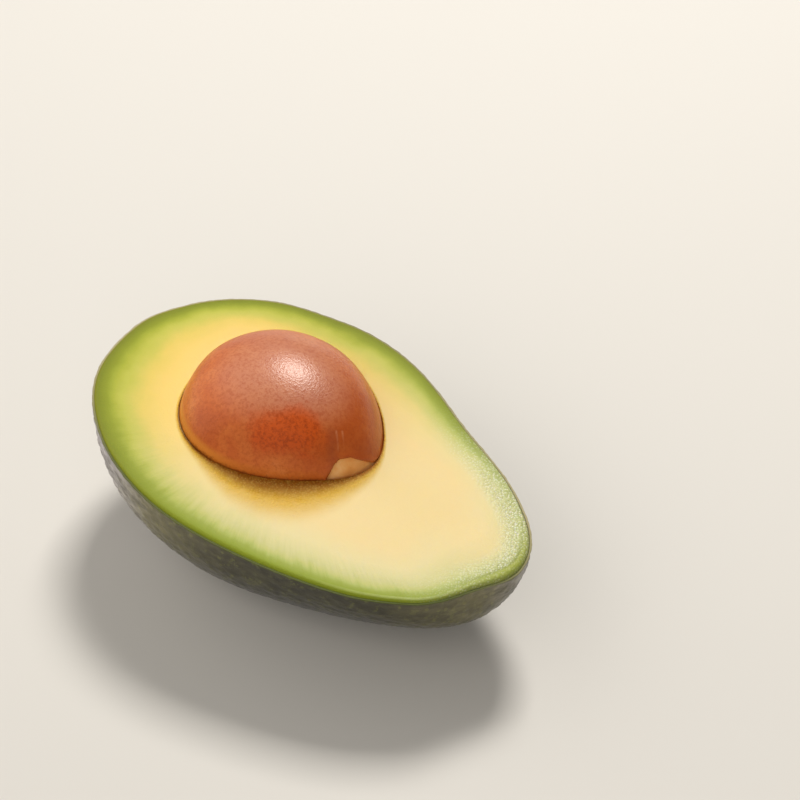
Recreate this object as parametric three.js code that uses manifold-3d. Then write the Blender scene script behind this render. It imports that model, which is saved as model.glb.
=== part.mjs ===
// One half of an avocado, cut lengthways, with its seed in it. Units are millimetres and +Z is up.
// It lies on its skin with the cut face up. The narrow end points along +X and dips a little.
// The origin is the middle of the small flat spot under it.
import * as THREE from "three";
import { mergeVertices } from "three/addons/utils/BufferGeometryUtils.js";
import Module from "manifold-3d";

// The fruit, in a frame of its own: the cut face is at z = 0, and x runs from the wide end to the narrow end.
const FRUIT_LENGTH = 100;
const HALF_WIDTH = 32.1; // from the middle line to either side, at mid length
// What each side adds to the half width, in the powers of c, which is 1 at the wide end and -1 at the narrow end.
const FAR_SIDE_BULGE = [11.6, -3.6, -7.3, 7.0];
const NEAR_SIDE_BULGE = [6.3, -1.5, -6.9, 3.9];
const DEPTH_TO_WIDTH = 0.89; // depth of the half under the cut, as a share of its half width
const LUMP_HEIGHT = 0.35; // low swells that keep the fruit from being a perfect pear
const LUMP_WAVES = [7.3, 5.9, 6.7]; // waves of those swells along x, y and z
const LUMP_SHIFTS = [0.6, 2.1, 4.4];

// The scar where the fruit stalk sat: a shallow dimple, a little off the narrow end's tip
const STALK_SCAR_DIRECTION = new THREE.Vector3(1, -0.12, -0.1).normalize();
const STALK_SCAR_SPREAD = 0.17;
const STALK_SCAR_DEPTH = 0.9;

// The skin and its pebbles
const SKIN_THICKNESS = 0.9;
const PEBBLE_COUNT = 820; // over the whole fruit: about 5 mm apart, so larger than life
const PEBBLE_REACH = 2.8;
const PEBBLE_HEIGHT = 0.6;
const PEBBLE_STANDS_OUT = 0.6; // the share of that height which is outside the fruit's smooth shape
const PEBBLE_SCATTER = 0.035;
const PEBBLE_SEED = 11;
const RANDOM_FACTOR = 1664525;
const RANDOM_STEP = 1013904223;
const RANDOM_RANGE = 2 ** 32;
const GOLDEN_ANGLE = Math.PI * (3 - Math.sqrt(5));

// The seed, with its coat on. It sits a little to the far side of the hollow.
const SEED_CENTRE = new THREE.Vector3(-9.3, 3.7, -3);
const SEED_HALF_LENGTH = 21.5;
const SEED_HALF_WIDTH = 19.4;
const SEED_RISE = 16.4; // above its own middle
const SEED_DEPTH = 18.5; // below its own middle
const SEED_TAPER = [-0.2, -0.03, -0.08]; // slimmer towards the narrow end, in the powers of the place along it
const SEED_HEIGHT_TAPER = 0.35; // the share of that taper which its height has
const COAT_THICKNESS = 0.6;

// The tear in the seed coat: its outline as seen from the side, in millimetres along the coat and up from the
// seed's middle, and the direction that it faces, in degrees from the narrow end.
const TEAR_FACES = -8;
const TEAR_OUTLINE = [
  [-5.4, -2.5],
  [-5.0, 3.4],
  [-3.7, 5.4],
  [-2.0, 6.4],
  [-0.3, 5.6],
  [3.3, 3.9],
  [5.6, 4.2],
  [8.2, 5.8],
  [7.4, -2.5],
];

// How it rests
const NARROW_END_DIP = 4.3; // degrees
const CUT_HEIGHT = 27.95; // from the flat spot straight up to the level of the cut face's middle
const FLAT_SPOT = [-8.2, 0.4]; // along X and Y, from under the middle of the cut face to the middle of the spot

// Between pieces that touch
const GAP = 0.3;

// How finely the curved surfaces are divided
const SKIN_DIVISIONS = 22;
const FLESH_DIVISIONS = 11;
const SEED_DIVISIONS = 6;

const manifold = await Module();
manifold.setup();

// A closed surface as a solid that can be joined and cut.
function solidOf(geometry) {
  const bare = geometry.clone();
  bare.deleteAttribute("normal");
  bare.deleteAttribute("uv");
  const merged = mergeVertices(bare, 1e-4);
  return new manifold.Manifold(
    new manifold.Mesh({
      numProp: 3,
      vertProperties: new Float32Array(merged.getAttribute("position").array),
      triVerts: new Uint32Array(merged.getIndex().array),
    }),
  );
}

// A solid's surface as a geometry that can be shown.
function geometryOf(solid) {
  const mesh = solid.getMesh();
  const geometry = new THREE.BufferGeometry();
  geometry.setAttribute("position", new THREE.BufferAttribute(mesh.vertProperties, 3));
  geometry.setIndex(new THREE.BufferAttribute(mesh.triVerts, 1));
  geometry.computeVertexNormals();
  return geometry;
}

// A ball of near-equal triangles, each corner of which is moved to where place(direction) says.
function shapedBall(divisions, place) {
  const ball = new THREE.IcosahedronGeometry(1, divisions);
  const corners = ball.getAttribute("position");
  const direction = new THREE.Vector3();
  for (let i = 0; i < corners.count; i += 1) {
    direction.fromBufferAttribute(corners, i).normalize();
    const moved = place(direction);
    corners.setXYZ(i, moved.x, moved.y, moved.z);
  }
  return ball;
}

// Random numbers from 0 to 1 that are the same on every run.
function seededRandom(seed) {
  let state = seed;
  return () => {
    state = (state * RANDOM_FACTOR + RANDOM_STEP) % RANDOM_RANGE;
    return state / RANDOM_RANGE;
  };
}

function polynomial(terms, c) {
  return terms.reduce((sum, term, power) => sum + term * c ** (power + 1), 0);
}

function lump(direction) {
  const along = Math.sin(LUMP_WAVES[0] * direction.x + LUMP_SHIFTS[0]);
  const across = Math.sin(LUMP_WAVES[1] * direction.y + LUMP_SHIFTS[1]);
  const down = Math.sin(LUMP_WAVES[2] * direction.z + LUMP_SHIFTS[2]);
  return (LUMP_HEIGHT * (along * across + across * down + down * along)) / 2;
}

function stalkScar(direction) {
  const away = direction.distanceTo(STALK_SCAR_DIRECTION) / STALK_SCAR_SPREAD;
  return -STALK_SCAR_DEPTH * Math.exp(-away * away);
}

// The fruit's surface in one direction from its middle, raised by so much.
function fruitPoint(direction, raised) {
  const c = -direction.x;
  const far = HALF_WIDTH + polynomial(FAR_SIDE_BULGE, c);
  const near = HALF_WIDTH + polynomial(NEAR_SIDE_BULGE, c);
  const out = raised + lump(direction) + stalkScar(direction);
  const side = direction.y > 0 ? far : near;
  return new THREE.Vector3(
    (FRUIT_LENGTH / 2 + out) * direction.x,
    (side + out) * direction.y,
    ((DEPTH_TO_WIDTH * (far + near)) / 2 + out) * direction.z,
  );
}

// The middles of the pebbles, spread evenly over the whole fruit and then scattered a little.
function pebbleMiddles() {
  const random = seededRandom(PEBBLE_SEED);
  const middles = [];
  for (let i = 0; i < PEBBLE_COUNT; i += 1) {
    const z = 1 - (2 * i + 1) / PEBBLE_COUNT;
    const round = Math.sqrt(1 - z * z);
    const direction = new THREE.Vector3(
      round * Math.cos(GOLDEN_ANGLE * i) + PEBBLE_SCATTER * (random() - 0.5),
      round * Math.sin(GOLDEN_ANGLE * i) + PEBBLE_SCATTER * (random() - 0.5),
      z + PEBBLE_SCATTER * (random() - 0.5),
    );
    middles.push(fruitPoint(direction.normalize(), 0));
  }
  return middles;
}

// How far the pebbled surface stands above the smooth one at a point.
function pebbleHeight(point, middles) {
  const nearest = Math.min(...middles.map((middle) => middle.distanceTo(point)));
  const share = Math.min(1, nearest / PEBBLE_REACH);
  return PEBBLE_HEIGHT * (PEBBLE_STANDS_OUT - share * share);
}

// Moves a point up to the flat spot's level where it would be lower. The level lies further in for inner layers.
function pressedFlat(point, inset) {
  const dip = THREE.MathUtils.degToRad(NARROW_END_DIP);
  const up = new THREE.Vector3(-Math.sin(dip), 0, Math.cos(dip));
  const tooLow = -CUT_HEIGHT + inset - point.dot(up);
  return tooLow > 0 ? point.addScaledVector(up, tooLow) : point;
}

function pebbledFruit() {
  const middles = pebbleMiddles();
  return shapedBall(SKIN_DIVISIONS, (direction) => {
    const height = pebbleHeight(fruitPoint(direction, 0), middles);
    return pressedFlat(fruitPoint(direction, height), 0);
  });
}

function smoothFruit(inset) {
  return shapedBall(FLESH_DIVISIONS, (direction) => {
    return pressedFlat(fruitPoint(direction, -inset), inset);
  });
}

// Everything above the cut.
function cutAway() {
  const size = 2 * FRUIT_LENGTH;
  return new THREE.BoxGeometry(size, size, size).translate(0, 0, size / 2);
}

// The seed with its coat, or a layer inside it, round the seed's own middle.
function seedShape(inset) {
  return shapedBall(SEED_DIVISIONS, (direction) => {
    const taper = polynomial(SEED_TAPER, direction.x);
    const height = direction.z > 0 ? SEED_RISE : SEED_DEPTH;
    return new THREE.Vector3(
      (SEED_HALF_LENGTH - inset) * direction.x,
      (SEED_HALF_WIDTH * (1 + taper) - inset) * direction.y,
      (height * (1 + SEED_HEIGHT_TAPER * taper) - inset) * direction.z,
    );
  });
}

// A prism of the tear's outline, from the seed's middle out through the coat.
function tear() {
  const outline = new THREE.Shape(TEAR_OUTLINE.map(([along, up]) => new THREE.Vector2(along, up)));
  const prism = new THREE.ExtrudeGeometry(outline, { depth: 2 * SEED_HALF_LENGTH, bevelEnabled: false });
  const faces = THREE.MathUtils.degToRad(TEAR_FACES);
  const outwards = new THREE.Vector3(Math.cos(faces), Math.sin(faces), 0);
  const up = new THREE.Vector3(0, 0, 1);
  const along = new THREE.Vector3().crossVectors(up, outwards);
  return prism.applyMatrix4(new THREE.Matrix4().makeBasis(along, up, outwards));
}

function skin() {
  const shell = solidOf(pebbledFruit()).subtract(solidOf(smoothFruit(SKIN_THICKNESS)));
  const material = new THREE.MeshStandardMaterial({ color: 0x3a3d1e, roughness: 0.45, metalness: 0 });
  const mesh = new THREE.Mesh(geometryOf(shell.subtract(solidOf(cutAway()))), material);
  mesh.name = "skin";
  return mesh;
}

function flesh() {
  const whole = solidOf(smoothFruit(SKIN_THICKNESS + GAP));
  const hollow = seedShape(-GAP).translate(SEED_CENTRE.x, SEED_CENTRE.y, SEED_CENTRE.z);
  const cut = whole.subtract(solidOf(cutAway())).subtract(solidOf(hollow));
  const material = new THREE.MeshStandardMaterial({ color: 0xf3e09a, roughness: 0.4, metalness: 0 });
  const mesh = new THREE.Mesh(geometryOf(cut), material);
  mesh.name = "flesh";
  return mesh;
}

function seedCoat() {
  const shell = solidOf(seedShape(0)).subtract(solidOf(seedShape(COAT_THICKNESS)));
  const material = new THREE.MeshStandardMaterial({ color: 0xb0643a, roughness: 0.45, metalness: 0 });
  const mesh = new THREE.Mesh(geometryOf(shell.subtract(solidOf(tear()))), material);
  mesh.name = "seed_coat";
  return mesh;
}

function seed() {
  const material = new THREE.MeshStandardMaterial({ color: 0xd9b083, roughness: 0.6, metalness: 0 });
  const mesh = new THREE.Mesh(geometryOf(solidOf(seedShape(COAT_THICKNESS + GAP))), material);
  mesh.name = "seed";
  return mesh;
}

// The seed in its coat, placed in the hollow
const seedInCoat = new THREE.Group();
seedInCoat.position.copy(SEED_CENTRE);
seedInCoat.add(seedCoat(), seed());

// The half, tipped as it rests, with the middle of its flat spot at the origin
const half = new THREE.Group();
half.rotation.y = THREE.MathUtils.degToRad(NARROW_END_DIP);
half.add(skin(), flesh(), seedInCoat);
half.position.set(-FLAT_SPOT[0], -FLAT_SPOT[1], CUT_HEIGHT);

const avocado = new THREE.Group();
avocado.add(half);

export default avocado;
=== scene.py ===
import math
import random

import bmesh
import bpy
import numpy as np
from mathutils import Matrix, Vector, kdtree, noise


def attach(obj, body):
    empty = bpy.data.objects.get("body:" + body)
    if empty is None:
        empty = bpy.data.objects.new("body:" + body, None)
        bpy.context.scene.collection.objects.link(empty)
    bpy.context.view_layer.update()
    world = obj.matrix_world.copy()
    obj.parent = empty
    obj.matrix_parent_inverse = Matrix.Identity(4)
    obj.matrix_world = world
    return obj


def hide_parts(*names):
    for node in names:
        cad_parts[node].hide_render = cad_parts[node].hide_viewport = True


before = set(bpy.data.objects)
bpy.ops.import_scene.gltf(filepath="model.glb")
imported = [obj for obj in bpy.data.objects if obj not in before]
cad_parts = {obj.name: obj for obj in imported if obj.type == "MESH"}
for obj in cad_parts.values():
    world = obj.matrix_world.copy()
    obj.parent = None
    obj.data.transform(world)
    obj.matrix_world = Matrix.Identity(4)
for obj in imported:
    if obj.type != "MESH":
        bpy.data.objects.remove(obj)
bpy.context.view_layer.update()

# The flesh: one grown piece, buttery when ripe, cut flat by a knife round the seed, whose hollow is in it.
# The skin covers it below. Sizes are in millimetres. Tables hold (degrees, value) pairs round the fruit: 0 is
# the narrow end, 90 the far side and -90 the near side.
MM = 0.001
FRUIT_LENGTH = 100.0
HALF_WIDTH = 32.1
FAR_SIDE_BULGE = (11.6, -3.6, -7.3, 7.0)
NEAR_SIDE_BULGE = (6.3, -1.5, -6.9, 3.9)
DEPTH_TO_WIDTH = 0.89
LUMP_HEIGHT = 0.35
LUMP_WAVES = (7.3, 5.9, 6.7)
LUMP_SHIFTS = (0.6, 2.1, 4.4)
STALK_SCAR_DIRECTION = (1.0, -0.12, -0.1)
STALK_SCAR_SPREAD = 0.17
STALK_SCAR_DEPTH = 0.9
NARROW_END_DIP = math.radians(4.3)
CUT_HEIGHT = 27.95
FLAT_SPOT = (-8.2, 0.4)
FLESH_UNDERSIDE = 1.2
SKIN_THICKNESS = 0.4
RIM_LEAN = ((-172, 0.8), (-160, 0.5), (-146, 0.3), (-130, 0.5), (-118, 1.0), (-95, 0.9), (-82, 0.6),
            (-72, 0.1), (-58, 0.1), (-50, 0.5), (-44, 1.2), (-32, 1.5), (-26, 2.3), (-18, 2.8), (-11, 2.4),
            (-6, 0.9), (0, 0.1), (19, 0.4), (29, 0.9), (38, 0.9), (48, 0.4), (60, 0.5), (69, 0.9), (78, 0.3),
            (90, -0.1), (105, 0.4), (118, 1.4), (126, 0.8), (134, 0.5), (150, 0.6), (163, 0.9), (171, 0.0),
            (178, 0.6))
RIM_LEAN_DEPTH = 6.0
RIM_LEAN_BLUR = 2.5
TABLE_BLUR = 6.0
HAIR = 1e-9


def powers(terms, c):
    """What a row of terms adds, in the first, second and further powers of c."""
    return sum(term * c ** (power + 1) for power, term in enumerate(terms))


def unit(vectors):
    """Vectors made one long."""
    return vectors / np.linalg.norm(vectors, axis=-1, keepdims=True)


def ways(latitude, longitude):
    """Unit directions from latitudes and longitudes."""
    level = np.cos(latitude)
    return np.stack([level * np.cos(longitude), level * np.sin(longitude), np.sin(latitude)], 1)


def around(table, angle, blur=TABLE_BLUR):
    """A value that changes smoothly round the fruit, from a few (degrees, value) pairs."""
    degrees, values = zip(*table)
    turned = [np.degrees(angle) + blur * k for k in (-2, -1, 0, 1, 2)]
    return np.mean([np.interp(place, degrees, values, period=360) for place in turned], axis=0)


def fruit_surface(direction, raised):
    """The fruit's surface in some directions from its middle, raised by so much, in its own frame."""
    x, y, z = direction.T
    far = HALF_WIDTH + powers(FAR_SIDE_BULGE, -x)
    near = HALF_WIDTH + powers(NEAR_SIDE_BULGE, -x)
    swell = [np.sin(wave * part + shift) for wave, part, shift in zip(LUMP_WAVES, (x, y, z), LUMP_SHIFTS)]
    lump = LUMP_HEIGHT * (swell[0] * swell[1] + swell[1] * swell[2] + swell[2] * swell[0]) / 2
    away = np.linalg.norm(direction - unit(np.array(STALK_SCAR_DIRECTION)), axis=1) / STALK_SCAR_SPREAD
    out = raised + lump - STALK_SCAR_DEPTH * np.exp(-away * away)
    side = np.where(y > 0, far, near)
    depth = DEPTH_TO_WIDTH * (far + near) / 2
    points = np.stack([(FRUIT_LENGTH / 2 + out) * x, (side + out) * y, (depth + out) * z], 1)
    lean = around(RIM_LEAN, np.arctan2(y, x), RIM_LEAN_BLUR) * np.exp(-(points[:, 2] / RIM_LEAN_DEPTH) ** 2)
    points[:, :2] -= lean[:, None] * unit(direction[:, :2] + (HAIR, 0))
    return points


# The seed's shape, shared by its hollow in the flesh, its coat and the seed itself. It is an egg that tapers
# to the narrow end, with swells: each has a direction, a height and a reach.
SEED_CENTRE = (-9.3, 3.7, -3.0)
SEED_HALF_LENGTH = 21.5
SEED_HALF_WIDTH = 19.4
SEED_RISE = 16.4
SEED_DEPTH = 18.5
SEED_TAPER = (-0.2, -0.03, -0.08)
SEED_HEIGHT_TAPER = 0.35
SEED_SWELLS = (((-0.85, -0.05, 0.55), 0.8, 0.38), ((-0.25, 0.62, 0.75), -0.45, 0.3),
               ((0.55, -0.75, 0.15), -0.35, 0.45))


def seed_surface(direction, inset):
    """The seed's surface in some directions from its middle, or a layer inside it."""
    x, y, z = direction.T
    taper = powers(SEED_TAPER, x)
    height = np.where(z > 0, SEED_RISE, SEED_DEPTH) * (1 + SEED_HEIGHT_TAPER * taper)
    width = SEED_HALF_WIDTH * (1 + taper)
    swell = sum(rise * np.exp(-(((direction - unit(np.array(way))) ** 2).sum(1)) / reach ** 2)
                for way, rise, reach in SEED_SWELLS)
    local = np.stack([(SEED_HALF_LENGTH - inset) * x, (width - inset) * y, (height - inset) * z], 1)
    return local + swell[:, None] * direction + SEED_CENTRE


def at_rest(points, underside):
    """Points of the fruit's own frame, in millimetres, brought to where the half rests, in metres. Nothing
    goes below the underside, which is pressed flat where it bears on the table."""
    tilt = np.array(Matrix.Rotation(NARROW_END_DIP, 3, "Y"))
    placed = points @ tilt.T + (-FLAT_SPOT[0], -FLAT_SPOT[1], CUT_HEIGHT)
    placed[:, 2] = np.maximum(placed[:, 2], underside)
    return placed * MM


def mesh_of(bm, name):
    """A new mesh from a bmesh, which is freed."""
    mesh = bpy.data.meshes.new(name)
    bm.to_mesh(mesh)
    bm.free()
    return mesh


def places_of(mesh):
    """The places of a mesh's vertices."""
    places = np.empty(len(mesh.vertices) * 3)
    mesh.vertices.foreach_get("co", places)
    return places.reshape(-1, 3)


POLE_MERGE = 1e-4


def spun_shell(name, rings, segments):
    """A closed surface spun from a profile of so many rings, whose first and last are its two poles. With it
    come each vertex's ring and its angle round the axis."""
    bm = bmesh.new()
    profile = [bm.verts.new((math.sin(math.pi * k / (rings - 1)), 0, k)) for k in range(rings)]
    for pole in (profile[0], profile[-1]):
        pole.co.x = 0
    edges = [bm.edges.new(pair) for pair in zip(profile, profile[1:])]
    bmesh.ops.spin(bm, geom=profile + edges, cent=(0, 0, 0), axis=(0, 0, 1), angle=math.tau,
                   steps=segments, use_merge=True, use_duplicate=False)
    bmesh.ops.remove_doubles(bm, verts=bm.verts, dist=POLE_MERGE)
    mesh = mesh_of(bm, name)
    places = places_of(mesh)
    return mesh, np.rint(places[:, 2]).astype(int), np.arctan2(places[:, 1], places[:, 0])


def finish_mesh(mesh, places, **attributes):
    """Puts a mesh's vertices in place, turns its faces outwards, smooths it and stores what its material
    reads."""
    mesh.vertices.foreach_set("co", places.ravel())
    bm = bmesh.new()
    bm.from_mesh(mesh)
    bmesh.ops.recalc_face_normals(bm, faces=bm.faces)
    for face in bm.faces:
        face.smooth = True
    bm.to_mesh(mesh)
    bm.free()
    for name, values in attributes.items():
        kind, field = ("FLOAT", "value") if values.ndim == 1 else ("FLOAT_VECTOR", "vector")
        layer = mesh.attributes.new(name, kind, "POINT")
        layer.data.foreach_set(field, values.ravel().astype(np.float32))
    made = bpy.data.objects.new(mesh.name, mesh)
    bpy.context.collection.objects.link(made)
    return made


# How the knife and the seed shaped the cut: the rounding of its edge, widest at the facet by the narrow end,
# and the lip of the hollow, which rises a little, clings to the seed and is ragged on the left.
FLESH_SEGMENTS = 400
BELLY_RINGS = 30
FACE_RINGS = 66
HOLLOW_RINGS = 26
RIM_ROUNDING = ((-180, 0.3), (-130, 0.4), (-90, 0.9), (-40, 1.1), (-15, 0.9), (-3, 1.6), (10, 1.5),
                (26, 0.5), (60, 0.3), (140, 0.3))
LIP_ROUNDING = ((-180, 0.14), (-140, 0.16), (-118, 0.28), (-80, 0.25), (-30, 0.2), (20, 0.16), (90, 0.16))
LIP_RISE = ((-175, 0.1), (-140, 0.35), (-60, 0.55), (-20, 0.45), (15, 0.25), (45, 0.0))
LIP_RISE_REACH = 2.6
HOLLOW_SLACK = ((-180, 0.03), (-150, 0.06), (-125, 0.16), (-105, 0.1), (-70, 0.04), (20, 0.04), (150, 0.03))
LIP_RAGGED = ((-180, 0.02), (-145, 0.06), (-125, 0.2), (-105, 0.15), (-80, 0.04), (120, 0.02))
RAGGED_CIRCLE = 12
RAGGED_LEVEL = 3.0
OUTLINE_STEPS = 3600
KNIFE_WAVER = 0.05
KNIFE_WAVER_LENGTHS = (5.1, 7.3)


def hollow_points(angle, latitude):
    """The wall of the seed's hollow. Where the knife's cut crossed the lip it is a little ragged."""
    ragged = np.array([noise.noise((RAGGED_CIRCLE * math.cos(a), RAGGED_CIRCLE * math.sin(a), RAGGED_LEVEL))
                       for a in angle])
    slack = around(HOLLOW_SLACK, angle) + around(LIP_RAGGED, angle) * ragged
    return seed_surface(ways(latitude, angle), -slack)


def underneath(level):
    """Unit directions downwards, from their level parts."""
    return np.column_stack([level, -np.sqrt(np.maximum(0, 1 - (level ** 2).sum(1)))])


def rounded_fall(radius, inwards):
    """How far a rounded edge has fallen, so far inwards from it."""
    return radius - np.sqrt(radius ** 2 - np.maximum(0, radius - inwards) ** 2)


mesh, ring, angle = spun_shell("avocado_flesh", BELLY_RINGS + FACE_RINGS + HOLLOW_RINGS, FLESH_SEGMENTS)
seed_middle = np.array(SEED_CENTRE[:2])
rim_round = around(RIM_ROUNDING, angle)
lip_round = around(LIP_ROUNDING, angle)
lip_rise = around(LIP_RISE, angle)
lip_latitude = np.arcsin((-SEED_CENTRE[2] - lip_round + lip_rise) / SEED_RISE)
lip = hollow_points(angle, lip_latitude)[:, :2]
outline_turn = np.linspace(-math.pi, math.pi, OUTLINE_STEPS, endpoint=False)
outline = fruit_surface(ways(0 * outline_turn, outline_turn), -SKIN_THICKNESS)[:, :2] - seed_middle
outline_seen_at = np.arctan2(outline[:, 1], outline[:, 0])
lip_seen_at = np.arctan2(*(lip - seed_middle).T[::-1])
rim_cos = np.interp(lip_seen_at, outline_seen_at, np.cos(outline_turn), period=math.tau)
rim_sin = np.interp(lip_seen_at, outline_seen_at, np.sin(outline_turn), period=math.tau)
rim_turn = np.arctan2(rim_sin, rim_cos)
rim_direction = ways(-rim_round / (DEPTH_TO_WIDTH * HALF_WIDTH), rim_turn)
rim = fruit_surface(rim_direction, -SKIN_THICKNESS)

belly_share = np.sin(math.pi / 2 * np.clip(ring / (BELLY_RINGS - 1), 0, 1))[:, None]
under_seed = seed_middle / (FRUIT_LENGTH / 2, HALF_WIDTH)
belly_level = under_seed + belly_share * (rim_direction[:, :2] - under_seed)
belly = fruit_surface(underneath(belly_level), -SKIN_THICKNESS)

face_step = np.clip((ring - BELLY_RINGS + 1) / (FACE_RINGS + 1), 0, 1)
face_share = ((1 - np.cos(math.pi * face_step)) / 2)[:, None]
across = np.linalg.norm(lip - rim[:, :2], axis=1)
from_rim = across * face_share[:, 0]
from_lip = across - from_rim
fall = rounded_fall(rim_round, from_rim) + rounded_fall(lip_round, from_lip)
face_level = rim[:, :2] + face_share * (lip - rim[:, :2])
waver_along = np.sin(face_level[:, 0] / KNIFE_WAVER_LENGTHS[0])
waver_across = np.sin(face_level[:, 1] / KNIFE_WAVER_LENGTHS[1] + 1)
collar = lip_rise * np.exp(-(from_lip / LIP_RISE_REACH) ** 2)
face_height = collar - fall + KNIFE_WAVER * waver_along * waver_across * face_share[:, 0]
face = np.column_stack([face_level, face_height])

down_step = np.clip((ring - BELLY_RINGS - FACE_RINGS) / (HOLLOW_RINGS - 1), 0, 1)
hollow = hollow_points(angle, lip_latitude + down_step * (-math.pi / 2 - lip_latitude))
zone = np.digitize(ring, (BELLY_RINGS, BELLY_RINGS + FACE_RINGS))
places = np.choose(zone[:, None], (belly, face, hollow))

# Where the colours of the cut lie: how wide the green is, which side is pale (partly paler flesh, partly a
# painted sheen), wet (with a painted wet sheen) or streaked, the facet and the crest that the blade left by
# the narrow end (with a painted highlight along the crest), and how far the brown stain reaches from the
# seed (partly real browning, partly the seed's painted shadow).
FAR_OFF = 50.0
FACE_WAY_RADIUS = 35.0
GREEN_WIDTHS = ((-180, 1.1), (-155, 1.15), (-120, 1.05), (-90, 0.8), (-50, 0.75), (-24, 0.6), (-8, 1.0),
                (10, 1.0), (24, 0.5), (45, 0.5), (75, 0.7), (105, 1.0), (120, 0.85), (138, 0.6), (165, 0.9))
# Sides where the cut is paler: partly paler flesh, partly a painted sheen.
PALE_SIDES = ((-180, 0.05), (-135, 0.15), (-105, 0.75), (-80, 1.0), (15, 1.0), (50, 0.85), (75, 0.5),
              (100, 0.15), (125, 0.1), (150, 0.1))
# Sides where juice makes the cut glossy and where its sheen is painted in.
WET_SIDES = ((-35, 0.0), (-15, 0.3), (0, 0.8), (12, 1.0), (38, 1.0), (48, 0.7), (56, 0.25), (66, 0.0))
WET_REACH = 6.8
FACET_SIDES = ((-12, 0.0), (-6, 0.9), (2, 1.0), (12, 0.9), (18, 0.4), (24, 0.0))
FACET_WIDTH = 1.8
FACET_FADE = 0.5
# Sides where a painted highlight runs along the crest of the rounded rim.
CREST_SIDES = ((-58, 0.0), (-48, 1.0), (-22, 1.0), (-14, 0.0))
STREAKED_SIDES = ((-150, 0.0), (-115, 0.7), (-90, 1.0), (-45, 1.0), (-25, 0.3), (-10, 0.0))
STREAKED_MOST = 1.2
STREAKS_FROM_RIM = 5.5
STREAKS_FADE = 6
# How far the brown stain reaches on each side: partly real browning, partly the seed's painted shadow.
STAIN_STRETCH = ((-165, 0.04), (-145, 0.05), (-128, 0.06), (-112, 0.11), (-98, 0.22), (-84, 0.5),
                 (-68, 0.85), (-50, 0.92), (-34, 0.75), (-20, 0.45), (-6, 0.2), (8, 0.08), (20, 0.04))
HOLLOW_STAIN = 14
TURN_STEP = 0.01
rim_next = fruit_surface(ways(0 * rim_turn, rim_turn + TURN_STEP), 0)[:, :2]
rim_here = fruit_surface(ways(0 * rim_turn, rim_turn), 0)[:, :2]
along_rim = unit(rim_next - rim_here)
ruling = unit(lip - rim[:, :2])
squareness = np.abs(along_rim[:, 0] * ruling[:, 1] - along_rim[:, 1] * ruling[:, 0])
inwards = from_rim * squareness
on_face = zone == 1
facet = around(FACET_SIDES, rim_turn)
past_facet = np.clip((inwards - FACET_WIDTH) / FACET_FADE, 0, 1)
near_rim = np.clip(1 - inwards / WET_REACH, 0, 1) * on_face
streak_room = np.clip(STREAKED_MOST - np.abs(inwards - STREAKS_FROM_RIM) / STREAKS_FADE, 0, 1)
stretch = around(STAIN_STRETCH, lip_seen_at)
stain_off_face = np.where(zone == 0, FAR_OFF, HOLLOW_STAIN * (1 - stretch))
round_rim = FACE_WAY_RADIUS * np.stack([np.cos(rim_turn), np.sin(rim_turn)], 1)
flesh = finish_mesh(
    mesh, at_rest(places, FLESH_UNDERSIDE),
    rim_way=np.where(on_face, inwards / around(GREEN_WIDTHS, rim_turn), np.where(zone == 0, 0, FAR_OFF)),
    stain_way=np.where(on_face, from_lip / stretch, stain_off_face),
    wet=around(WET_SIDES, rim_turn) * np.clip(near_rim * 2, 0, 1) * (1 - facet * (1 - past_facet)),
    streaked=around(STREAKED_SIDES, rim_turn) * streak_room * on_face,
    pale=around(PALE_SIDES, rim_turn),
    faceted=facet * on_face,
    crested=around(CREST_SIDES, rim_turn) * on_face,
    face_way=np.column_stack([round_rim, inwards]))


def linear(shade):
    """An sRGB hex colour as the linear colour that a shader takes."""
    parts = [int(shade[i:i + 2], 16) / 255 for i in (1, 3, 5)]
    return [p / 12.92 if p <= 0.04045 else ((p + 0.055) / 1.055) ** 2.4 for p in parts] + [1.0]


SAME_STOP = 1e-4


def add_node(tree, kind, inputs=(), stops=(), **settings):
    """Adds a node with its settings, its ramp's stops and its inputs, each of which is a value or a link from
    another node. A mix of colours takes them as its inputs 6 and 7 and gives its output 2."""
    made = tree.nodes.new("ShaderNode" + kind)
    for name, value in settings.items():
        setattr(made, name, value)
    for place, shade in stops:
        near = [e for e in made.color_ramp.elements if abs(e.position - place) < SAME_STOP]
        element = near[0] if near else made.color_ramp.elements.new(place)
        element.color = linear(shade)
    for name, value in dict(inputs).items():
        if isinstance(value, bpy.types.NodeSocket):
            tree.links.new(value, made.inputs[name])
        else:
            made.inputs[name].default_value = value
    return made


def new_material(name):
    """An empty material, its node tree and its surface shader."""
    material = bpy.data.materials.new(name)
    material.use_nodes = True
    tree = material.node_tree
    return material, tree, tree.nodes["Principled BSDF"]


def scale_of(millimetres):
    """The scale of a pattern whose grain is so coarse."""
    return 1 / (millimetres * MM)


# Ripe avocado flesh, cut with a knife: fat and water in small cells. It looks buttery, soft and a little
# see-through, cream yellow round the seed and green in the last 8 mm under the skin. Where juice lies on it
# the grain is glossy, with its sheen and sparkle painted in as pale colour, and in front of the seed it has
# browned, darkened further by the seed's painted shadow. Its cells are finer in life, and drawn to show.
GREEN_DRIFT = 6
STREAK_STRETCH = (1.4, 1.4, 0.16)
CELL = 0.45
CELL_GRAIN = 0.4
STAIN_BLOTCH = 2.2
CREST_FROM_RIM = 0.9
DAMPNESS = 0.6
STAIN_MOISTNESS = 0.5
RAMP_SPAN = 20.0
RICH_GREENS = ((0.0, "#7a7b1a"), (0.9, "#7d870c"), (2.2, "#8c9713"), (3.6, "#a9b02c"), (5.0, "#bdbf44"),
               (6.6, "#cac450"), (9.0, "#e3cb60"), (12.5, "#efd070"), (20.0, "#f1d286"))
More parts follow.
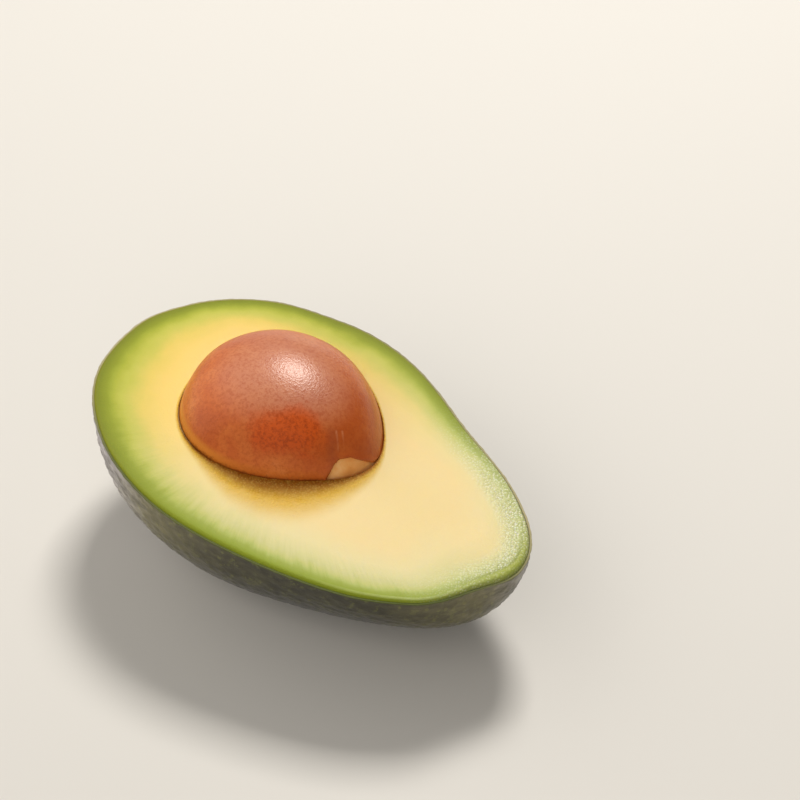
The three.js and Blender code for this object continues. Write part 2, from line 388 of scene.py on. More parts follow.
PALE_GREENS = ((0.0, "#879424"), (1.3, "#93a336"), (2.4, "#9fac4c"), (3.4, "#b3bd68"), (4.6, "#c5c77d"),
               (6.2, "#cfcd90"), (8.5, "#dbd59d"), (12.0, "#e6daa6"), (20.0, "#edd8a0"))
FACET_GREENS = ((0.0, "#7f8a2c"), (0.7, "#a0aa3a"), (1.5, "#a6ae3e"), (2.0, "#7c8624"), (2.6, "#b4ba70"),
                (4.0, "#cfcf96"), (7.0, "#e8d7a0"), (11.0, "#efdaa2"), (20.0, "#ecd69b"))
ripe_flesh, tree, surface = new_material("ripe_avocado_flesh")
coords = add_node(tree, "TexCoord").outputs["Object"]
rim_mm, stain_mm, wet_here, streak_here, facet_here, crest_here, pale_here = [
    add_node(tree, "Attribute", attribute_name=name).outputs["Fac"]
    for name in ("rim_way", "stain_way", "wet", "streaked", "faceted", "crested", "pale")]
face_coords = add_node(tree, "Attribute", attribute_name="face_way").outputs["Vector"]
drift = add_node(tree, "TexNoise", {"Vector": coords, "Scale": scale_of(GREEN_DRIFT),
                                    "Detail": 4.0}).outputs["Fac"]
drift_mm = add_node(tree, "MapRange", {"Value": drift, "From Min": 0.3, "From Max": 0.7,
                                       "To Min": -0.7, "To Max": 0.7}).outputs["Result"]
streak_coords = add_node(tree, "Mapping", {"Vector": face_coords, "Scale": STREAK_STRETCH}).outputs["Vector"]
streaks = add_node(tree, "TexNoise", {"Vector": streak_coords, "Scale": 1.0, "Detail": 3.0}).outputs["Fac"]
streak_mm = add_node(tree, "MapRange", {"Value": streaks, "From Min": 0.3, "From Max": 0.7,
                                        "To Min": -0.8, "To Max": 0.8}).outputs["Result"]
streak_part = add_node(tree, "Math", {0: streak_mm, 1: streak_here}, operation="MULTIPLY").outputs[0]
drifted = add_node(tree, "Math", {0: drift_mm, 1: streak_part}, operation="ADD").outputs[0]
drift_room = add_node(tree, "MapRange", {"Value": rim_mm, "From Min": 0.3,
                                         "From Max": 4.0}).outputs["Result"]
drift_kept = add_node(tree, "Math", {0: drifted, 1: drift_room}, operation="MULTIPLY").outputs[0]
band_mm = add_node(tree, "Math", {0: rim_mm, 1: drift_kept}, operation="ADD").outputs[0]
band = add_node(tree, "MapRange", {"Value": band_mm, "From Max": RAMP_SPAN}).outputs["Result"]
rich, pale, facet_shade = [
    add_node(tree, "ValToRGB", {"Fac": band},
             stops=[(mm / RAMP_SPAN, shade) for mm, shade in greens]).outputs["Color"]
    for greens in (RICH_GREENS, PALE_GREENS, FACET_GREENS)]
# The pale side is partly paler flesh and partly a painted sheen.
sided = add_node(tree, "Mix", {"Factor": pale_here, 6: rich, 7: pale}, data_type="RGBA").outputs[2]
flesh_shade = add_node(tree, "Mix", {"Factor": facet_here, 6: sided, 7: facet_shade},
                       data_type="RGBA").outputs[2]
# A pale line along the crest of the rim: a painted highlight.
crest_off = add_node(tree, "Math", {0: rim_mm, 1: CREST_FROM_RIM}, operation="SUBTRACT").outputs[0]
crest_gap = add_node(tree, "Math", {0: crest_off}, operation="ABSOLUTE").outputs[0]
crest_line = add_node(tree, "MapRange", {"Value": crest_gap, "From Min": 0.5, "From Max": 0.15,
                                         "To Max": 0.6}).outputs["Result"]
crest = add_node(tree, "Math", {0: crest_line, 1: crest_here}, operation="MULTIPLY").outputs[0]
# The wet sheen and the glints on the juice beads are painted highlights.
damp = add_node(tree, "Math", {0: wet_here, 1: DAMPNESS}, operation="MULTIPLY").outputs[0]
cells = add_node(tree, "TexVoronoi", {"Vector": coords, "Scale": scale_of(CELL)}).outputs["Distance"]
beads = add_node(tree, "MapRange", {"Value": cells, "From Min": 0.5, "From Max": 0.18}).outputs["Result"]
beaded = add_node(tree, "Math", {0: beads, 1: wet_here}, operation="MULTIPLY").outputs[0]
blotch = add_node(tree, "TexNoise", {"Vector": coords, "Scale": scale_of(STAIN_BLOTCH),
                                     "Detail": 4.0}).outputs["Fac"]
blotched = add_node(tree, "MapRange", {"Value": blotch, "From Min": 0.3, "From Max": 0.65,
                                       "To Min": 0.82, "To Max": 1.0}).outputs["Result"]
# The golden and brown round the front of the seed: partly real browning, partly painted shadow cast by the
# seed.
golden_reach = add_node(tree, "MapRange", {"Value": stain_mm, "From Min": 14.0, "From Max": 4.5},
                        interpolation_type="SMOOTHSTEP").outputs["Result"]
brown_reach = add_node(tree, "MapRange", {"Value": stain_mm, "From Min": 6.8, "From Max": 0.9},
                       interpolation_type="SMOOTHSTEP").outputs["Result"]
golden = add_node(tree, "Math", {0: golden_reach, 1: blotched}, operation="MULTIPLY").outputs[0]
brown = add_node(tree, "Math", {0: brown_reach, 1: blotched}, operation="MULTIPLY").outputs[0]
# Glints on the moist grain of the stain: painted highlights.
glint_reach = add_node(tree, "MapRange", {"Value": golden_reach, "To Max": 0.2}).outputs["Result"]
glints = add_node(tree, "Math", {0: beads, 1: glint_reach}, operation="MULTIPLY").outputs[0]
for share, shade in ((crest, "#c3cf86"), (damp, "#dcdfb0"), (beaded, "#f2f3de"), (golden, "#d8ad30"),
                     (brown, "#945400"), (glints, "#ecc968")):
    flesh_shade = add_node(tree, "Mix", {"Factor": share, 6: flesh_shade, 7: linear(shade)},
                           data_type="RGBA").outputs[2]
grain_fine = add_node(tree, "TexNoise", {"Vector": coords, "Scale": scale_of(CELL_GRAIN),
                                         "Detail": 3.0}).outputs["Fac"]
moist = add_node(tree, "Math", {0: golden_reach, 1: STAIN_MOISTNESS}, operation="MULTIPLY").outputs[0]
rough_zone = add_node(tree, "Math", {0: moist, 1: wet_here}, operation="MAXIMUM").outputs[0]
rough_share = add_node(tree, "MapRange", {"Value": rough_zone, "To Min": 0.12,
                                          "To Max": 1.0}).outputs["Result"]
cell_grain = add_node(tree, "Math", {0: cells, 1: grain_fine}, operation="MULTIPLY").outputs[0]
grain = add_node(tree, "Math", {0: cell_grain, 1: rough_share}, operation="MULTIPLY").outputs[0]
relief = add_node(tree, "Bump", {"Height": grain, "Strength": 1.0, "Distance": 0.5 * MM}).outputs["Normal"]
streak_height = add_node(tree, "Math", {0: streaks, 1: streak_here}, operation="MULTIPLY").outputs[0]
streaked_relief = add_node(tree, "Bump", {"Height": streak_height, "Strength": 1.0, "Distance": 0.12 * MM,
                                          "Normal": relief}).outputs["Normal"]
gloss = add_node(tree, "MapRange", {"Value": wet_here, "To Min": 0.66, "To Max": 0.26}).outputs["Result"]
tree.links.new(flesh_shade, surface.inputs["Base Color"])
tree.links.new(streaked_relief, surface.inputs["Normal"])
tree.links.new(gloss, surface.inputs["Roughness"])
surface.inputs["IOR"].default_value = 1.36
surface.inputs["Subsurface Weight"].default_value = 0.3
surface.inputs["Subsurface Radius"].default_value = (1.0, 0.8, 0.3)
surface.inputs["Subsurface Scale"].default_value = 1.6 * MM
flesh.data.materials.append(ripe_flesh)
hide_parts("flesh")
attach(flesh, "root")

# The skin: a thin, leathery peel, grown on the flesh and cut with it. Its outside is pebbled all over, less
# on the near side, and most pebbles carry a pale pore. Its cut edge shows as a thin line round the flesh.
PEBBLE_SPACING = 2.1
PEBBLE_HEIGHT = 0.36
PEBBLE_SCATTER = 0.55
PEBBLE_SIZES = (0.55, 1.0)
PEBBLE_REACH = 0.62
PEBBLE_SUNK = 0.35
PEBBLED_RADIUS = 36.5
PEBBLE_PACKING = 0.866
PEBBLE_DRAW = 5
GROOVE_WIDTH = 0.7
PEBBLES_AT_EDGE = 0.4
PEBBLE_FADE = 0.02
EDGE_SHADE_FADE = 0.018
EDGE_ROUNDING = 0.75
SKIN_SEGMENTS = 600
OUTER_RINGS = 122
EDGE_RINGS = 3
INNER_RINGS = 20
PEBBLE_SIDES = ((-180, 0.9), (-130, 0.7), (-60, 0.42), (-10, 0.5), (30, 0.9), (60, 1.0), (150, 1.0))
EDGE_TAN_SIDES = ((-180, 1.0), (-152, 0.8), (-130, 0.1), (-15, 0.0), (8, 0.5), (22, 1.0), (60, 0.9),
                  (110, 0.5), (150, 0.8))
# How much grey film covers each side: partly wax bloom, partly a painted sheen on the near side.
BLOOM_SIDES = ((-180, 0.85), (-130, 0.97), (-20, 0.97), (-5, 1.0), (15, 1.0), (30, 0.8), (60, 0.3),
               (130, 0.2))
# The film's tone round the fruit: silvery where a reflection is painted in, at the wide end and the tip.
FILM_TONES = ((-180, 0.5), (-155, 1.0), (-125, 1.0), (-112, 0.65), (-100, 0.25), (-88, 0.1), (-60, 0.0),
              (-35, 0.15), (-22, 0.45), (-8, 0.5), (2, 0.65), (12, 0.95), (24, 0.8), (40, 0.1))
mesh, ring, angle = spun_shell("avocado_skin", OUTER_RINGS + EDGE_RINGS + INNER_RINGS, SKIN_SEGMENTS)
zone = np.digitize(ring, (OUTER_RINGS, OUTER_RINGS + EDGE_RINGS))
on_outside = zone == 0
outer_step = ring / (OUTER_RINGS - 1)
inner_step = (OUTER_RINGS + EDGE_RINGS + INNER_RINGS - 1 - ring) / (INNER_RINGS - 1)
step = np.choose(zone, (outer_step, 1 + 0 * ring, np.clip(inner_step, 0, 1)))
edge_latitude = -EDGE_ROUNDING * around(RIM_ROUNDING, angle) / (DEPTH_TO_WIDTH * HALF_WIDTH)
edge_way = ways(edge_latitude, angle)
share = np.sin(math.pi / 2 * step)[:, None]
way = underneath(under_seed + share * (edge_way[:, :2] - under_seed))
edge_share = (ring - OUTER_RINGS + 1) / (EDGE_RINGS + 1)
inset = np.choose(zone, (0.0 * ring, SKIN_THICKNESS * edge_share, SKIN_THICKNESS + 0.0 * ring))

pebble_count = int(4 * math.pi * PEBBLED_RADIUS ** 2 / (PEBBLE_PACKING * PEBBLE_SPACING ** 2))
pebble_draw = random.Random(PEBBLE_DRAW)
golden_angle = math.pi * (3 - math.sqrt(5))
pebble_order = np.arange(pebble_count)
pebble_latitude = np.arcsin(1 - (2 * pebble_order + 1) / pebble_count)
scatter = np.array([[pebble_draw.uniform(-1, 1) for _ in range(3)] for _ in pebble_order])
even_way = ways(pebble_latitude, golden_angle * pebble_order)
pebble_way = unit(even_way + PEBBLE_SCATTER * PEBBLE_SPACING / PEBBLED_RADIUS * scatter)
pebble_middle = fruit_surface(pebble_way, 0)
pebble_size = np.array([pebble_draw.uniform(*PEBBLE_SIZES) for _ in pebble_order])
tree_of_pebbles = kdtree.KDTree(pebble_count)
for index, middle in enumerate(pebble_middle):
    tree_of_pebbles.insert(middle, index)
tree_of_pebbles.balance()
smooth = fruit_surface(way, -inset)
nearest = [tree_of_pebbles.find_n(Vector(point), 2) for point in smooth]
near_index = np.array([first[1] for first, _ in nearest])
near_distance = np.array([first[2] for first, _ in nearest])
edge_distance = np.array([second[2] - first[2] for first, second in nearest])
crown = np.clip(1 - (near_distance / (PEBBLE_REACH * PEBBLE_SPACING)) ** 2, 0, 1)
groove = np.clip(edge_distance / GROOVE_WIDTH, 0, 1)
pebble = crown * np.sqrt(groove) * pebble_size[near_index]
pebbly = PEBBLES_AT_EDGE + (1 - PEBBLES_AT_EDGE) * np.clip((1 - step) / PEBBLE_FADE, 0, 1)
pebble_rise = pebbly * around(PEBBLE_SIDES, angle) * PEBBLE_HEIGHT * (pebble - PEBBLE_SUNK)
places = fruit_surface(way, np.where(on_outside, pebble_rise, 0.0) - inset)
skin = finish_mesh(
    mesh, at_rest(places, inset),
    pebble=pebble, pore_near=near_distance, pore_draw=pebble_size[near_index],
    from_pore=smooth - pebble_middle[near_index],
    outside=np.where(on_outside, np.clip((1 - step) / EDGE_SHADE_FADE, 0, 1), 0.0),
    edge_tan=around(EDGE_TAN_SIDES, angle), bloom=around(BLOOM_SIDES, angle),
    film_tone=around(FILM_TONES, angle))

# Avocado peel, thin and waxy: dark olive green with small yellow-green pores, and painted shade in the
# valleys between its pebbles. A film of wax dulls the near side, grey with a painted sheen there. Painted in
# the film are a silvery reflection at the wide end and the tip, in fine streaks, olive between them, and a
# painted shadow low down. The cut edge is tan, or dark green where the knife smeared it. The wrinkles are
# finer in life, drawn to show.
GROUND_PATCH = 9
PORE_RAGGED = 0.6
PORE_MARGIN = 0.8
FILM_CLOUD = 3.5
WIPE = 4
WIPE_STRETCH = (1, 1, 3)
WRINKLE = 0.8
waxy_peel, tree, surface = new_material("waxy_avocado_peel")
coords = add_node(tree, "TexCoord").outputs["Object"]
pebble_here, pore_near, pore_draw, outer_side, tan_here, bloom_here, tone_here = [
    add_node(tree, "Attribute", attribute_name=name).outputs["Fac"]
    for name in ("pebble", "pore_near", "pore_draw", "outside", "edge_tan", "bloom", "film_tone")]
pore_vector = add_node(tree, "Attribute", attribute_name="from_pore").outputs["Vector"]
patches = add_node(tree, "TexNoise", {"Vector": coords, "Scale": scale_of(GROUND_PATCH),
                                      "Detail": 5.0}).outputs["Fac"]
ground = add_node(tree, "ValToRGB", {"Fac": patches}, stops=(
    (0.3, "#26270f"), (0.45, "#34351a"), (0.6, "#454626"), (0.75, "#52522c"))).outputs["Color"]
# The valleys between the pebbles are darkened: painted shade.
valley = add_node(tree, "MapRange", {"Value": pebble_here, "From Max": 0.5}).outputs["Result"]
shaded = add_node(tree, "Mix", {"Factor": valley, 6: linear("#22230f"), 7: ground},
                  data_type="RGBA").outputs[2]
pore_length = add_node(tree, "VectorMath", {0: pore_vector}, operation="LENGTH").outputs["Value"]
ragged = add_node(tree, "TexNoise", {"Vector": coords, "Scale": scale_of(PORE_RAGGED),
                                     "Detail": 2.0}).outputs["Fac"]
pore_edge = add_node(tree, "MapRange", {"Value": ragged, "From Min": 0.3, "From Max": 0.7,
                                        "To Min": -0.2, "To Max": 0.2}).outputs["Result"]
pore_reach = add_node(tree, "Math", {0: pore_length, 1: pore_edge}, operation="ADD").outputs[0]
pore_spot = add_node(tree, "MapRange", {"Value": pore_reach, "From Min": 0.42,
                                        "From Max": 0.22}).outputs["Result"]
pore_kept = add_node(tree, "Math", {0: pore_near, 1: PORE_MARGIN}, operation="LESS_THAN").outputs[0]
pore_picked = add_node(tree, "MapRange", {"Value": pore_draw, "From Min": 0.6,
                                          "From Max": 0.8}).outputs["Result"]
pore_there = add_node(tree, "Math", {0: pore_spot, 1: pore_kept}, operation="MULTIPLY").outputs[0]
pore = add_node(tree, "Math", {0: pore_there, 1: pore_picked}, operation="MULTIPLY").outputs[0]
dotted = add_node(tree, "Mix", {"Factor": pore, 6: shaded, 7: linear("#a4a84a")},
                  data_type="RGBA").outputs[2]
film = add_node(tree, "TexNoise", {"Vector": coords, "Scale": scale_of(FILM_CLOUD), "Detail": 5.0,
                                   "Roughness": 0.65}).outputs["Fac"]
film_here = add_node(tree, "MapRange", {"Value": film, "From Min": 0.3, "From Max": 0.7,
                                        "To Min": 0.8, "To Max": 1.0}).outputs["Result"]
film_share = add_node(tree, "Math", {0: film_here, 1: bloom_here}, operation="MULTIPLY").outputs[0]
# Light and dark tones of the film, mixed in streaks: at the ends a painted silvery reflection.
film_low = add_node(tree, "ValToRGB", {"Fac": tone_here}, stops=(
    (0.0, "#292822"), (0.5, "#696448"), (1.0, "#6a6464"))).outputs["Color"]
film_high = add_node(tree, "ValToRGB", {"Fac": tone_here}, stops=(
    (0.0, "#3d3c2f"), (0.5, "#837d58"), (1.0, "#c9c3c7"))).outputs["Color"]
wipe_coords = add_node(tree, "Mapping", {"Vector": coords, "Scale": WIPE_STRETCH}).outputs["Vector"]
wipes = add_node(tree, "TexNoise", {"Vector": wipe_coords, "Scale": scale_of(WIPE), "Detail": 5.0,
                                    "Roughness": 0.6}).outputs["Fac"]
wiped = add_node(tree, "MapRange", {"Value": wipes, "From Min": 0.38, "From Max": 0.62}).outputs["Result"]
film_mixed = add_node(tree, "Mix", {"Factor": wiped, 6: film_low, 7: film_high}, data_type="RGBA").outputs[2]
# Low down, near the table, the film is darkened: painted shadow.
height = add_node(tree, "SeparateXYZ", {"Vector": coords}).outputs["Z"]
low_share = add_node(tree, "MapRange", {"Value": height, "From Min": 22 * MM, "From Max": 9 * MM,
                                        "To Max": 0.72}).outputs["Result"]
film_shade = add_node(tree, "Mix", {"Factor": low_share, 6: film_mixed, 7: linear("#2b2b2c")},
                      data_type="RGBA").outputs[2]
# The film laid over the peel: wax bloom with painted sheen, reflection and shadow in it.
bloomed = add_node(tree, "Mix", {"Factor": film_share, 6: dotted, 7: film_shade},
                   data_type="RGBA").outputs[2]
edge_shade = add_node(tree, "Mix", {"Factor": tan_here, 6: linear("#4f5a1e"), 7: linear("#b0a67e")},
                      data_type="RGBA").outputs[2]
peel_shade = add_node(tree, "Mix", {"Factor": outer_side, 6: edge_shade, 7: bloomed},
                      data_type="RGBA").outputs[2]
wrinkle = add_node(tree, "TexNoise", {"Vector": coords, "Scale": scale_of(WRINKLE),
                                      "Detail": 4.0}).outputs["Fac"]
relief = add_node(tree, "Bump", {"Height": wrinkle, "Strength": 1.0,
                                 "Distance": 0.08 * MM}).outputs["Normal"]
peel_gloss = add_node(tree, "MapRange", {"Value": outer_side, "To Min": 0.75,
                                         "To Max": 0.4}).outputs["Result"]
tree.links.new(peel_shade, surface.inputs["Base Color"])
tree.links.new(relief, surface.inputs["Normal"])
tree.links.new(peel_gloss, surface.inputs["Roughness"])
surface.inputs["IOR"].default_value = 1.45
surface.inputs["Sheen Weight"].default_value = 0.15
surface.inputs["Sheen Roughness"].default_value = 0.4
surface.inputs["Sheen Tint"].default_value = linear("#c9c8d2")
skin.data.materials.append(waxy_peel)
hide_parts("skin")
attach(skin, "root")

# The seed: the tree's big pale seed, dense and smooth. It fills its coat but for a hair, and only a corner of
# it shows, where the coat is torn.
COAT_THICKNESS = 0.22
COAT_LIFT = 0.05
SEED_SUBDIVISIONS = 6


def ball_mesh(name, subdivisions):
    """A ball's mesh, and the direction of each of its vertices from its middle."""
    bm = bmesh.new()
    bmesh.ops.create_icosphere(bm, subdivisions=subdivisions, radius=1)
    mesh = mesh_of(bm, name)
    return mesh, unit(places_of(mesh))


seed_mesh, seed_way = ball_mesh("avocado_seed", SEED_SUBDIVISIONS)
seed = finish_mesh(seed_mesh, at_rest(seed_surface(seed_way, COAT_THICKNESS + COAT_LIFT), 0.0))

# Raw avocado seed under its coat: starchy and moist, smooth with shallow pits. It is pale orange cream,
# blushed in soft clouds, and a little light goes into it.
BLUSH = 3
PIT = 0.6
pale_seed, tree, surface = new_material("bare_avocado_seed")
coords = add_node(tree, "TexCoord").outputs["Object"]
blush = add_node(tree, "TexNoise", {"Vector": coords, "Scale": scale_of(BLUSH),
                                    "Detail": 4.0}).outputs["Fac"]
seed_shade = add_node(tree, "ValToRGB", {"Fac": blush}, stops=(
    (0.3, "#e89a4e"), (0.45, "#f3a95c"), (0.6, "#f8b56d"), (0.75, "#fcc88c"))).outputs["Color"]
pits = add_node(tree, "TexNoise", {"Vector": coords, "Scale": scale_of(PIT), "Detail": 3.0}).outputs["Fac"]
relief = add_node(tree, "Bump", {"Height": pits, "Strength": 0.3, "Distance": 0.15 * MM}).outputs["Normal"]
tree.links.new(seed_shade, surface.inputs["Base Color"])
tree.links.new(relief, surface.inputs["Normal"])
surface.inputs["Roughness"].default_value = 0.45
surface.inputs["Subsurface Weight"].default_value = 0.15
surface.inputs["Subsurface Radius"].default_value = (1.0, 0.5, 0.25)
surface.inputs["Subsurface Scale"].default_value = 1.0 * MM
seed.data.materials.append(pale_seed)
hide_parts("seed")
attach(seed, "root")

# The seed coat: a thin, papery brown husk that clings to the seed. It is torn low on the side that faces the
# narrow end, and the edge of the tear curls off the seed a little. The tear's outline is (along, up) from
# the seed's middle, and the veins, the fold and the dark patch are routes of points from there.
COAT_SUBDIVISIONS = 7
COAT_SUNK = 0.04
TEAR_FACES = math.radians(-8)
TEAR_SIDE_FROM = 8
TEAR_OUTLINE = ((-6.3, -2.5), (-6.0, 3.8), (-5.2, 5.0), (-4.5, 6.0), (-3.8, 6.5), (-3.0, 7.0),
                (-2.0, 6.9), (-0.9, 6.8), (0.0, 6.2), (0.9, 5.6), (1.9, 4.9), (2.9, 4.2), (3.9, 3.5),
                (5.2, 3.3), (6.2, 3.2), (6.9, -2.5))
TEAR_SNAP = 0.2
CURL_REACH = 0.9
CURL_LIFT = 0.25
VEINS = (((14.4, -3.1, 11.0), (16.2, -4.6, 8.6), (17.5, -6.4, 5.4)),
         ((15.1, -2.1, 10.7), (17.0, -3.8, 8.0), (18.3, -5.5, 5.2)))
FOLD = ((14.0, -4.0, 11.0), (16.0, -6.0, 8.0), (17.4, -7.5, 4.8), (17.2, -8.6, 3.0))
DARK_PATCH = ((5.0, -12.3, 11.4), (7.7, -10.2, 11.9), (10.6, -7.9, 11.6))
# Sides where painted shade darkens the coat where it meets the flesh.
CONTACT_SIDES = ((-170, 0.0), (-148, 0.3), (-125, 1.0), (-30, 0.9), (-10, 0.5), (10, 0.1), (30, 0.0))
FOOT_SIDES = ((-165, 0.0), (-145, 1.0), (-115, 1.0), (-90, 0.6), (-75, 0.15), (-20, 0.1), (0, 0.1),
              (10, 0.0))
# The side of the seed coat that is darkened with painted shade.
DEEP_SIDE = (0.82, 0.1, 0.56)


def foot_on(points, start, end):
    """The nearest point of a straight line to each point."""
    side = end - start
    share = np.clip(((points - start) @ side) / (side @ side), 0, 1)[:, None]
    return start + share * side


def to_route(points, route):
    """How far each point is from a route of a few corners."""
    corners = np.array(route)
    return np.min([np.linalg.norm(points - foot_on(points, start, end), axis=1)
                   for start, end in zip(corners, corners[1:])], axis=0)


def to_outline(points, corners):
    """For each point, the nearest place on a closed outline, the gap to it and whether it lies inside."""
    best = np.full(len(points), np.inf)
    nearest_point = points.copy()
    inside = np.zeros(len(points), bool)
    for start, end in zip(corners, np.roll(corners, -1, 0)):
        foot = foot_on(points, start, end)
        gap = np.linalg.norm(points - foot, axis=1)
        nearest_point[gap < best] = foot[gap < best]
        best = np.minimum(best, gap)
        crosses = (start[1] > points[:, 1]) != (end[1] > points[:, 1])
        rise = end[1] - start[1] if end[1] != start[1] else HAIR
        inside ^= crosses & (points[:, 0] < start[0] + (points[:, 1] - start[1]) / rise * (end - start)[0])
    return nearest_point, best, inside


coat_mesh, coat_way = ball_mesh("seed_coat_husk", COAT_SUBDIVISIONS)
tear_out = np.array((math.cos(TEAR_FACES), math.sin(TEAR_FACES), 0))
tear_along = np.array((-math.sin(TEAR_FACES), math.cos(TEAR_FACES), 0))
local = seed_surface(coat_way, COAT_SUNK) - SEED_CENTRE
flat = np.column_stack([local @ tear_along, local[:, 2]])
faces_tear = local @ tear_out > TEAR_SIDE_FROM
foot, tear_gap, in_tear = to_outline(flat, np.array(TEAR_OUTLINE))
in_tear &= faces_tear
snapped = faces_tear & (tear_gap < TEAR_SNAP)
pull = (foot - flat) * snapped[:, None]
local = local + pull[:, :1] * tear_along + pull[:, 1:] * (0, 0, 1)
curl = np.exp(-((tear_gap / CURL_REACH) ** 2)) * faces_tear * CURL_LIFT
local = local * (1 + curl[:, None] / np.linalg.norm(local, axis=1, keepdims=True))
turn = np.arctan2(coat_way[:, 1], coat_way[:, 0])
coat = finish_mesh(
    coat_mesh, at_rest(local + SEED_CENTRE, 0.0),
    above_cut=local[:, 2] + SEED_CENTRE[2],
    vein_way=np.minimum(*(to_route(local, route) for route in VEINS)),
    fold_way=to_route(local, FOLD), patch_way=to_route(local, DARK_PATCH),
    foot_side=around(FOOT_SIDES, turn), contact_side=around(CONTACT_SIDES, turn),
    deep_side=coat_way @ unit(np.array(DEEP_SIDE)))
bm = bmesh.new()
bm.from_mesh(coat.data)
bm.verts.ensure_lookup_table()
torn_away = [face for face in bm.faces if all(in_tear[v.index] or snapped[v.index] for v in face.verts)]
bmesh.ops.delete(bm, geom=torn_away, context="FACES")
bm.to_mesh(coat.data)
bm.free()
husk = coat.modifiers.new("husk thickness", "SOLIDIFY")
husk.thickness = COAT_THICKNESS * MM
husk.offset = -1

# Dry seed coat: a brown papery skin, satin where it is stretched, stippled with a fine grain. It has a
# painted rosy sheen on top and painted shade on the right, and a dark orange patch in front, with two pale
# veins by the tear and a fold. Its foot is golden where the moist flesh stained it, and painted shade darkens
# it where it meets the flesh.
COAT_CLOUD = 9
STIPPLE = 0.7
PIMPLE = 0.42
papery_coat, tree, surface = new_material("papery_seed_coat")
coords = add_node(tree, "TexCoord").outputs["Object"]
above, vein_mm, fold_mm, patch_mm, foot_here, contact_here, deep_here = [
    add_node(tree, "Attribute", attribute_name=name).outputs["Fac"]
    for name in ("above_cut", "vein_way", "fold_way", "patch_way", "foot_side", "contact_side", "deep_side")]
clouds = add_node(tree, "TexNoise", {"Vector": coords, "Scale": scale_of(COAT_CLOUD), "Detail": 6.0,
                                     "Roughness": 0.65}).outputs["Fac"]
coat_shade = add_node(tree, "ValToRGB", {"Fac": clouds}, stops=(
    (0.3, "#ba551a"), (0.45, "#c45e20"), (0.58, "#cf6d2a"), (0.72, "#da7f40"))).outputs["Color"]
# The right side darker: painted shade.
deep = add_node(tree, "MapRange", {"Value": deep_here, "From Min": 0.7, "From Max": 0.97, "To Max": 0.42},
                interpolation_type="SMOOTHSTEP").outputs["Result"]
# The top of the coat paler and rosier: a painted sheen.
top = add_node(tree, "MapRange", {"Value": above, "From Min": 7.5, "From Max": 13.0, "To Max": 0.65},
               interpolation_type="SMOOTHSTEP").outputs["Result"]
uneven = add_node(tree, "MapRange", {"Value": clouds, "From Min": 0.3, "From Max": 0.7,
                                     "To Min": -2.0, "To Max": 2.0}).outputs["Result"]
patch_way = add_node(tree, "Math", {0: patch_mm, 1: uneven}, operation="ADD").outputs[0]
patch = add_node(tree, "MapRange", {"Value": patch_way, "From Min": 5.6, "From Max": 1.2, "To Max": 0.9},
                 interpolation_type="SMOOTHSTEP").outputs["Result"]
mottle = add_node(tree, "TexNoise", {"Vector": coords, "Scale": scale_of(STIPPLE), "Detail": 5.0,
                                     "Roughness": 0.7}).outputs["Fac"]
mottle_most = add_node(tree, "MapRange", {"Value": patch, "To Min": 0.4, "To Max": 0.85}).outputs["Result"]
mottled = add_node(tree, "MapRange", {"Value": mottle, "From Min": 0.46, "From Max": 0.62,
                                      "To Max": mottle_most}).outputs["Result"]
foot_share = add_node(tree, "MapRange", {"Value": above, "From Min": 3.0, "From Max": 1.6},
                      interpolation_type="SMOOTHSTEP").outputs["Result"]
footed = add_node(tree, "Math", {0: foot_share, 1: foot_here}, operation="MULTIPLY").outputs[0]
ragged_mm = add_node(tree, "MapRange", {"Value": mottle, "From Min": 0.35, "From Max": 0.65,
                                        "To Min": -0.5, "To Max": 0.5}).outputs["Result"]
ragged_above = add_node(tree, "Math", {0: above, 1: ragged_mm}, operation="ADD").outputs[0]
# The dark line where the coat meets the flesh: painted shade.
contact_share = add_node(tree, "MapRange", {"Value": ragged_above, "From Min": 1.0, "From Max": 0.1,
                                            "To Max": 0.65}).outputs["Result"]
contact = add_node(tree, "Math", {0: contact_share, 1: contact_here}, operation="MULTIPLY").outputs[0]
folded = add_node(tree, "MapRange", {"Value": fold_mm, "From Min": 1.6, "From Max": 0.2,
                                     "To Max": 0.45}).outputs["Result"]
veined = add_node(tree, "MapRange", {"Value": vein_mm, "From Min": 0.3, "From Max": 0.1,
                                     "To Max": 0.26}).outputs["Result"]
for share, shade in ((deep, "#a6480a"), (top, "#c98e74"), (patch, "#cd5204"), (mottled, "#a43e00"),
                     (footed, "#d07c26"), (contact, "#70310e"), (folded, "#9a4424"), (veined, "#eaa67c")):
    coat_shade = add_node(tree, "Mix", {"Factor": share, 6: coat_shade, 7: linear(shade)},
                          data_type="RGBA").outputs[2]
pimples = add_node(tree, "TexVoronoi", {"Vector": coords, "Scale": scale_of(PIMPLE)}).outputs["Distance"]
grain = add_node(tree, "Math", {0: pimples, 1: mottle}, operation="MULTIPLY").outputs[0]
relief = add_node(tree, "Bump", {"Height": grain, "Strength": 1.0, "Distance": 0.06 * MM}).outputs["Normal"]
tree.links.new(coat_shade, surface.inputs["Base Color"])
tree.links.new(relief, surface.inputs["Normal"])
surface.inputs["Roughness"].default_value = 0.34
coat.data.materials.append(papery_coat)
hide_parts("seed_coat")
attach(coat, "root")

# The table that the half lies on: a plain pale floor with a matt finish, which isn't part of it. It reaches
# far enough to fill the picture.
FLOOR_HALF_SIDE = 2.5
bm = bmesh.new()
bmesh.ops.create_grid(bm, x_segments=1, y_segments=1, size=FLOOR_HALF_SIDE)
floor = bpy.data.objects.new("studio_floor", mesh_of(bm, "studio_floor"))
bpy.context.collection.objects.link(floor)
pale_floor, tree, surface = new_material("pale_studio_floor")
surface.inputs["Base Color"].default_value = linear("#dcdad6")
surface.inputs["Roughness"].default_value = 0.7
floor.data.materials.append(pale_floor)

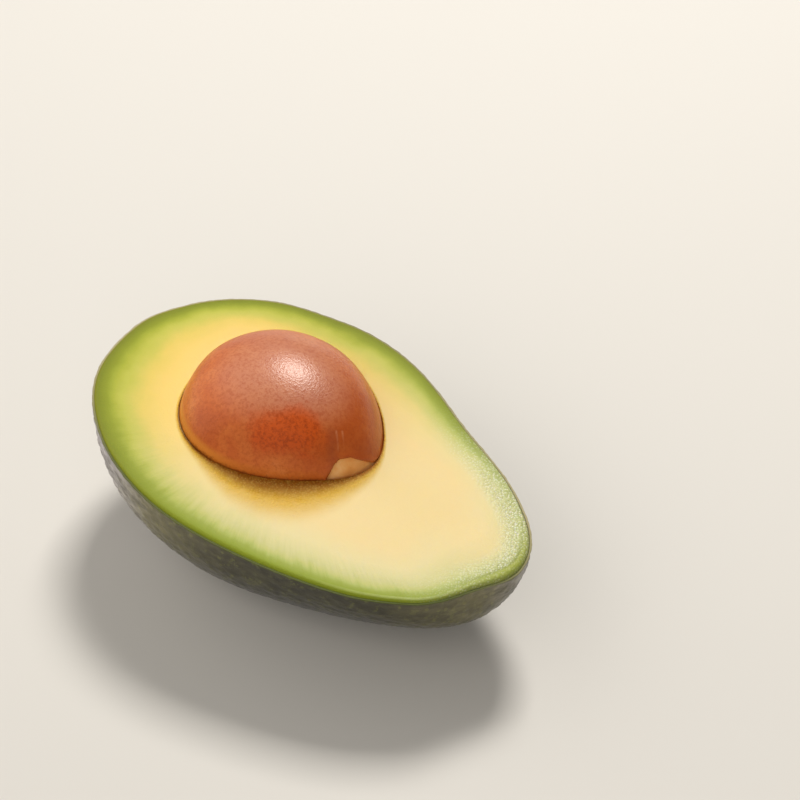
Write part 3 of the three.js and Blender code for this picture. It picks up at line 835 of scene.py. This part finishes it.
# The studio: a small bright light behind and above, which gives the seed its highlight, a large window on
# the left and a very large fill in front, whose polarised light leaves no haze on what is glossy. An even
# grey is all round. Colours are shown as they are, because a film curve would wash the flesh out.
face_middle = Vector((-FLAT_SPOT[0] * MM, -FLAT_SPOT[1] * MM, CUT_HEIGHT * MM))


def soft_light(name, towards, distance, size, power, shade, mirrored=True):
    """A square light at a distance in metres from the cut face, in the direction given, turned to it."""
    lamp = bpy.data.lights.new(name, "AREA")
    lamp.energy = power
    lamp.size = size
    lamp.color = linear(shade)[:3]
    made = bpy.data.objects.new(name, lamp)
    made.location = face_middle + Vector(towards).normalized() * distance
    made.rotation_euler = Vector(towards).to_track_quat("Z", "Y").to_euler()
    made.visible_glossy = mirrored
    bpy.context.collection.objects.link(made)


soft_light("back_softbox", (-0.25, 0.55, 0.79), distance=1.0, size=0.28, power=8.4, shade="#fffaf2")
soft_light("left_window", (-0.85, -0.3, 0.5), distance=1.5, size=1.8, power=8.7, shade="#fff9f0")
soft_light("front_fill", (0.15, -0.9, 0.5), distance=2.2, size=3.2, power=35.0, shade="#fff8ee",
           mirrored=False)
world = bpy.data.worlds.new("studio_air")
world.use_nodes = True
world.node_tree.nodes["Background"].inputs["Color"].default_value = linear("#dcdad6")
world.node_tree.nodes["Background"].inputs["Strength"].default_value = 0.2
bpy.context.scene.world = world
bpy.context.scene.view_settings.view_transform = "Standard"

# The camera: a long lens half a metre away, looking down over the seed to the narrow end. It aims a little
# to the right of the cut's middle and above it, as the picture's frame does.
CAMERA_AZIMUTH = math.radians(38.58)
CAMERA_ELEVATION = math.radians(42.5)
CAMERA_DISTANCE = 0.5
AIM_RIGHT = 17.11 * MM
AIM_UP = 9.52 * MM
SENSOR = 36.0
PIXELS = 800
FOCAL_PIXELS = 2556
lens = bpy.data.cameras.new("half_metre_camera")
lens.sensor_width = SENSOR
lens.lens = FOCAL_PIXELS * SENSOR / PIXELS
camera = bpy.data.objects.new("half_metre_camera", lens)
bpy.context.collection.objects.link(camera)
level_share = math.cos(CAMERA_ELEVATION)
back = Vector((math.sin(CAMERA_AZIMUTH) * level_share, -math.cos(CAMERA_AZIMUTH) * level_share,
               math.sin(CAMERA_ELEVATION)))
right = Vector((math.cos(CAMERA_AZIMUTH), math.sin(CAMERA_AZIMUTH), 0))
above_view = back.cross(right)
camera.location = face_middle + AIM_RIGHT * right + AIM_UP * above_view + CAMERA_DISTANCE * back
camera.rotation_euler = Matrix((right, above_view, back)).transposed().to_euler()
bpy.context.scene.camera = camera
